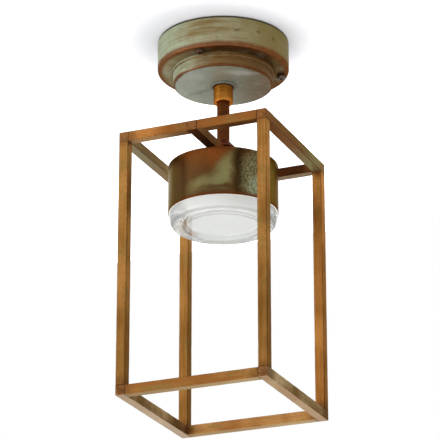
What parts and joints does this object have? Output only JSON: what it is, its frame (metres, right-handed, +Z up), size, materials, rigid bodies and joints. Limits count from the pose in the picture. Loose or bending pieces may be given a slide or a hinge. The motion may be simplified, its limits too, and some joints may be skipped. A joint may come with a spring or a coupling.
{
  "type": "porch ceiling lantern",
  "caption": "Ceiling lantern of aged brass: stepped round rose, short stem, tall open cage of square bar, and a drum with a twist-lock lamp behind a thick screw-in glass lens.",
  "frame": {"origin": "centre of the rose's face against the ceiling", "axes": "+Z up into the ceiling, along the stem; -Y is the cage's front, +X its right-hand side"},
  "size_m": [0.16, 0.16, 0.3957],
  "materials": {
    "patina_brass": "sage-green and brown patina over turned brass, lower edges worn to copper",
    "bar_brass": "bronzed square bar, darker heat tint at the brazed joints",
    "drum_brass": "brown and olive patina, mottled green on one side",
    "orange_brass": "warm lacquered brass",
    "dark_brass": "dark oxidised brass tube",
    "turned_brass": "plain turned brass",
    "stainless_steel": "stainless, satin",
    "zinc_steel": "zinc plated",
    "epdm": "black EPDM",
    "black_nylon": "black nylon",
    "white_nylon": "moulded, satin",
    "flex_sheath": "rubber-sheathed flex",
    "lamp_white": "white thermoplastic",
    "opal_plastic": "opal diffuser",
    "pressed_glass": "clear pressed glass, fire polished"
  },
  "bodies": {
    "rose": {"ceiling_plate": "zinc_steel", "plate_pillars": "turned_brass", "rose_gasket": "epdm", "rose_cup": "patina_brass", "rose_dish": "patina_brass", "rose_screws": "stainless_steel", "rose_screw_seals": "epdm", "cable_grommet": "epdm", "earth_terminal": "turned_brass", "terminal_block": "white_nylon", "terminal_screws": "stainless_steel", "swivel_bush": "black_nylon", "swivel_washer": "black_nylon", "stop_pin": "stainless_steel"},
    "lantern": {"stem": "dark_brass", "collar": "orange_brass", "stop_washer": "zinc_steel", "swivel_nut": "turned_brass", "lock_nut": "turned_brass", "flex": "flex_sheath", "rail_top_left": "bar_brass", "rail_top_right": "bar_brass", "rail_bottom_left": "bar_brass", "rail_bottom_right": "bar_brass", "post_front_left": "bar_brass", "post_front_right": "bar_brass", "post_back_left": "bar_brass", "post_back_right": "bar_brass", "crossbar": "bar_brass", "rail_bottom_front": "bar_brass", "rail_bottom_back": "bar_brass", "rail_top_front_left": "bar_brass", "rail_top_front_right": "bar_brass", "rail_top_back_left": "bar_brass", "rail_top_back_right": "bar_brass", "drum_shell": "drum_brass", "drum_nipple": "turned_brass", "drum_gasket": "epdm", "drum_washer": "zinc_steel", "drum_nut": "turned_brass", "holder_bridge": "zinc_steel", "holder_screws": "stainless_steel", "lamp_holder": "white_nylon", "holder_contacts": "turned_brass", "lens_seat_ring": "turned_brass"},
    "lens_seal": {"lens_seal": "epdm"},
    "lens": {"lens": "pressed_glass"},
    "lamp": {"lamp_body": "lamp_white", "lamp_diffuser": "opal_plastic", "lamp_pins": "turned_brass"}
  },
  "joints": [
    {"name": "lantern_swivel", "type": "hinge", "parent": "rose", "child": "lantern", "pos_m": [0, 0, -0.045], "axis": [0, 0, 1], "range_deg": [-169, 169]},
    {"name": "lens_drop", "type": "slide", "parent": "lantern", "child": "lens_seal", "axis": [0, 0, -1], "range_m": [0, 0.0075]},
    {"name": "lens_turn", "type": "hinge", "parent": "lens_seal", "child": "lens", "pos_m": [0, 0, -0.19], "axis": [0, 0, -1], "range_deg": [0, 540]},
    {"name": "lamp_twist", "type": "hinge", "parent": "lantern", "child": "lamp", "pos_m": [0, 0, -0.17], "axis": [0, 0, 1], "range_deg": [0, 15]}
  ],
  "couplings": [
    {"joint": "lens_drop", "follows": "lens_turn", "m_per_rad": 0.00079577}
  ]
}
